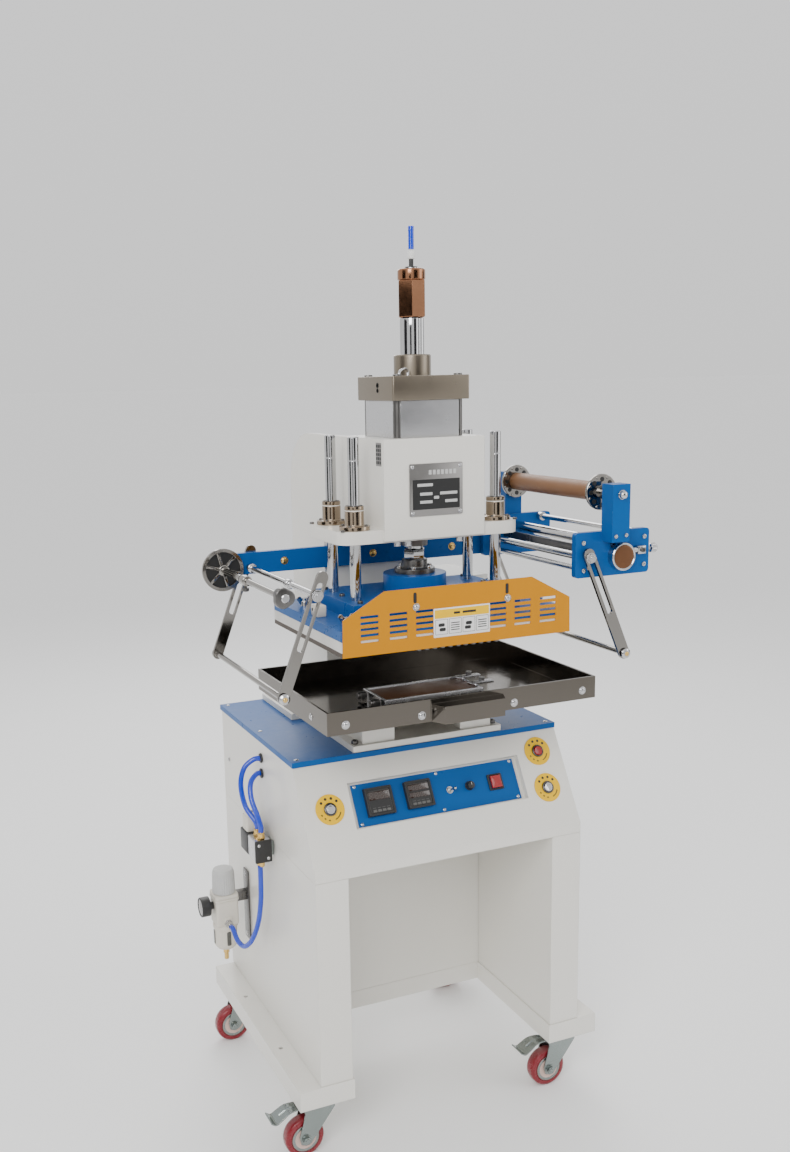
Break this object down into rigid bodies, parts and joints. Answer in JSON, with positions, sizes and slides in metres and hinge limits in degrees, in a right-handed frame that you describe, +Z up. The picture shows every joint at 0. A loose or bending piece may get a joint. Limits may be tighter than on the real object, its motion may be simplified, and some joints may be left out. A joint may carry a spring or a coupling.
{
  "type": "pneumatic hot foil stamper",
  "caption": "Free-standing pneumatic hot foil stamping press: heated platen on guide posts under a C-frame head, sliding work tray, foil feed units and a sloped-front cabinet on castors.",
  "frame": {"origin": "middle of the footprint at floor level (bottom centre of the bounding box)", "axes": "+X to the right of someone facing the control panel, +Y to the back of the machine, +Z up"},
  "size_m": [0.7954, 0.596, 1.642],
  "materials": {
    "ivory_powder_coat": "satin powder coat, off-white",
    "blue_enamel": "gloss enamel, bright blue",
    "orange_guard_paint": "satin paint, orange-yellow",
    "polished_chrome": "polished",
    "stainless_sheet": "bright brushed stainless sheet",
    "drawn_aluminium": "drawn, clear anodised",
    "champagne_anodised": "champagne anodised, machined",
    "copper_nut": "polished copper alloy",
    "zinc_plated_steel": "zinc plated pressing",
    "red_polyurethane": "moulded polyurethane",
    "black_plastic": "moulded, fine texture",
    "red_plastic": "moulded, gloss",
    "insulation_board": "sawn fibre board",
    "heating_plate_iron": "ground, heat darkened",
    "brown_platen": "brown, heat tinted",
    "foil_core_card": "wound card core and steel flanges",
    "blue_air_hose": "polyurethane hose",
    "black_cable_rubber": "cable sheath",
    "grey_regulator_plastic": "moulded knob"
  },
  "bodies": {
    "machine": {"back_bar": "blue_enamel", "base_frame": "ivory_powder_coat", "cabinet_housing": "ivory_powder_coat", "control_panel": "blue_enamel", "cylinder_barrel": "drawn_aluminium", "cylinder_cap": "champagne_anodised", "dwell_timer": "black_plastic", "electrics_box": "ivory_powder_coat", "filter_regulator": "ivory_powder_coat", "head_block": "ivory_powder_coat", "left_leg": "ivory_powder_coat", "power_cable": "black_cable_rubber", "press_column": "ivory_powder_coat", "rear_cover": "ivory_powder_coat", "rear_wall": "ivory_powder_coat", "right_front_plate": "blue_enamel", "right_leg": "ivory_powder_coat", "right_rear_plate": "blue_enamel", "solenoid_valve": "black_plastic", "supply_hose": "blue_air_hose", "tabletop_plate": "blue_enamel", "temperature_controller": "black_plastic", "valve_hose_front": "blue_air_hose", "valve_hose_rear": "blue_air_hose"},
    "press_head": {"piston_rod": "polished_chrome", "platen_cover": "blue_enamel", "insulation_board": "insulation_board", "heating_plate": "heating_plate_iron", "safety_guard": "orange_guard_paint", "top_port_plug": "blue_air_hose", "left_front_guide_post": "polished_chrome", "left_rear_guide_post": "polished_chrome", "right_front_guide_post": "polished_chrome", "right_rear_guide_post": "polished_chrome"},
    "nut": {"stroke_nut": "copper_nut"},
    "tray": {"work_tray": "stainless_sheet", "lower_platen": "brown_platen"},
    "left_dancer": {"left_swing_frame": "polished_chrome"},
    "right_dancer": {"right_swing_frame": "polished_chrome"},
    "unwind": {"left_unwind_shaft": "polished_chrome"},
    "spool": {"foil_spool": "foil_core_card"},
    "roller": {"feed_roller": "polished_chrome"},
    "tension": {"tension_knob": "polished_chrome"},
    "regulator_cap": {"regulator_knob": "grey_regulator_plastic"},
    "dial": {"dial_knob": "black_plastic"},
    "toggle": {"toggle_lever": "polished_chrome"},
    "rocker": {"power_rocker": "red_plastic"},
    "left_start": {"left_start_button": "polished_chrome"},
    "right_start": {"right_start_button": "polished_chrome"},
    "emergency_stop": {"emergency_stop_button": "red_plastic"},
    "left_front_castor": {"left_front_castor_fork": "zinc_plated_steel"},
    "left_front_wheel": {"left_front_castor_wheel": "red_polyurethane"},
    "left_front_brake": {"left_front_brake_pedal": "zinc_plated_steel"},
    "left_rear_castor": {"left_rear_castor_fork": "zinc_plated_steel"},
    "left_rear_wheel": {"left_rear_castor_wheel": "red_polyurethane"},
    "right_front_castor": {"right_front_castor_fork": "zinc_plated_steel"},
    "right_front_wheel": {"right_front_castor_wheel": "red_polyurethane"},
    "right_front_brake": {"right_front_brake_pedal": "zinc_plated_steel"},
    "right_rear_castor": {"right_rear_castor_fork": "zinc_plated_steel"},
    "right_rear_wheel": {"right_rear_castor_wheel": "red_polyurethane"}
  },
  "joints": [
    {"name": "press_slide", "type": "slide", "parent": "machine", "child": "press_head", "axis": [0, 0, -1], "range_m": [0, 0.06]},
    {"name": "nut_turn", "type": "hinge", "parent": "press_head", "child": "nut", "pos_m": [-0.02465, -0.073, 1.4869], "axis": [0, 0, 1], "continuous": true},
    {"name": "tray_slide", "type": "slide", "parent": "machine", "child": "tray", "axis": [0, -1, 0], "range_m": [0, 0.13]},
    {"name": "left_dancer_swing", "type": "hinge", "parent": "machine", "child": "left_dancer", "pos_m": [-0.28315, -0.238, 1.041], "axis": [0, 1, 0], "range_deg": [-18, 35]},
    {"name": "right_dancer_swing", "type": "hinge", "parent": "machine", "child": "right_dancer", "pos_m": [0.24195, -0.242, 1.061], "axis": [0, -1, 0], "range_deg": [-18, 28]},
    {"name": "unwind_turn", "type": "hinge", "parent": "machine", "child": "unwind", "pos_m": [-0.33565, -0.22, 1.04], "axis": [0, 1, 0], "continuous": true},
    {"name": "spool_turn", "type": "hinge", "parent": "machine", "child": "spool", "pos_m": [0.29235, -0.22, 1.1725], "axis": [0, 1, 0], "continuous": true},
    {"name": "roller_turn", "type": "hinge", "parent": "machine", "child": "roller", "pos_m": [0.29685, -0.22, 1.08], "axis": [0, 1, 0], "continuous": true},
    {"name": "tension_turn", "type": "hinge", "parent": "machine", "child": "tension", "pos_m": [0.37765, -0.224, 1.0662], "axis": [1, 0, 0], "continuous": true},
    {"name": "regulator_turn", "type": "hinge", "parent": "machine", "child": "regulator_cap", "pos_m": [-0.34665, 0.158, 0.3768], "axis": [0, 0, 1], "continuous": true},
    {"name": "dial_turn", "type": "hinge", "parent": "machine", "child": "dial", "pos_m": [0.04035, -0.1587, 0.63965], "axis": [0, -0.8626, 0.5059], "range_deg": [-135, 135]},
    {"name": "toggle_tilt", "type": "hinge", "parent": "machine", "child": "toggle", "pos_m": [-0.00045, -0.16194, 0.64005], "axis": [1, 0, 0], "range_deg": [-15, 15]},
    {"name": "rocker_tilt", "type": "hinge", "parent": "machine", "child": "rocker", "pos_m": [0.09535, -0.16153, 0.64016], "axis": [1, 0, 0], "range_deg": [-8, 8]},
    {"name": "left_start_press", "type": "slide", "parent": "machine", "child": "left_start", "axis": [0, 0.8626, -0.5059], "range_m": [0, 0.004], "stiffness_N_per_m": 600},
    {"name": "right_start_press", "type": "slide", "parent": "machine", "child": "right_start", "axis": [0, 0.8626, -0.5059], "range_m": [0, 0.004], "stiffness_N_per_m": 600},
    {"name": "emergency_stop_press", "type": "slide", "parent": "machine", "child": "emergency_stop", "axis": [0, 0.8626, -0.5059], "range_m": [0, 0.004], "stiffness_N_per_m": 600},
    {"name": "left_front_swivel", "type": "hinge", "parent": "machine", "child": "left_front_castor", "pos_m": [-0.28265, -0.18, 0.1027], "axis": [0, 0, 1], "continuous": true},
    {"name": "left_front_roll", "type": "hinge", "parent": "left_front_castor", "child": "left_front_wheel", "pos_m": [-0.31665, -0.18, 0.0375], "axis": [0, 1, 0], "continuous": true},
    {"name": "left_front_brake_tilt", "type": "hinge", "parent": "left_front_castor", "child": "left_front_brake", "pos_m": [-0.32265, -0.18, 0.092], "axis": [0, -1, 0], "range_deg": [0, 12]},
    {"name": "left_rear_swivel", "type": "hinge", "parent": "machine", "child": "left_rear_castor", "pos_m": [-0.28265, 0.24, 0.1027], "axis": [0, 0, 1], "continuous": true},
    {"name": "left_rear_roll", "type": "hinge", "parent": "left_rear_castor", "child": "left_rear_wheel", "pos_m": [-0.31665, 0.24, 0.0375], "axis": [0, 1, 0], "continuous": true},
    {"name": "right_front_swivel", "type": "hinge", "parent": "machine", "child": "right_front_castor", "pos_m": [0.23335, -0.18, 0.1027], "axis": [0, 0, 1], "continuous": true},
    {"name": "right_front_roll", "type": "hinge", "parent": "right_front_castor", "child": "right_front_wheel", "pos_m": [0.19935, -0.18, 0.0375], "axis": [0, 1, 0], "continuous": true},
    {"name": "right_front_brake_tilt", "type": "hinge", "parent": "right_front_castor", "child": "right_front_brake", "pos_m": [0.19335, -0.18, 0.092], "axis": [0, -1, 0], "range_deg": [0, 12]},
    {"name": "right_rear_swivel", "type": "hinge", "parent": "machine", "child": "right_rear_castor", "pos_m": [0.23335, 0.24, 0.1027], "axis": [0, 0, 1], "continuous": true},
    {"name": "right_rear_roll", "type": "hinge", "parent": "right_rear_castor", "child": "right_rear_wheel", "pos_m": [0.19935, 0.24, 0.0375], "axis": [0, 1, 0], "continuous": true}
  ]
}
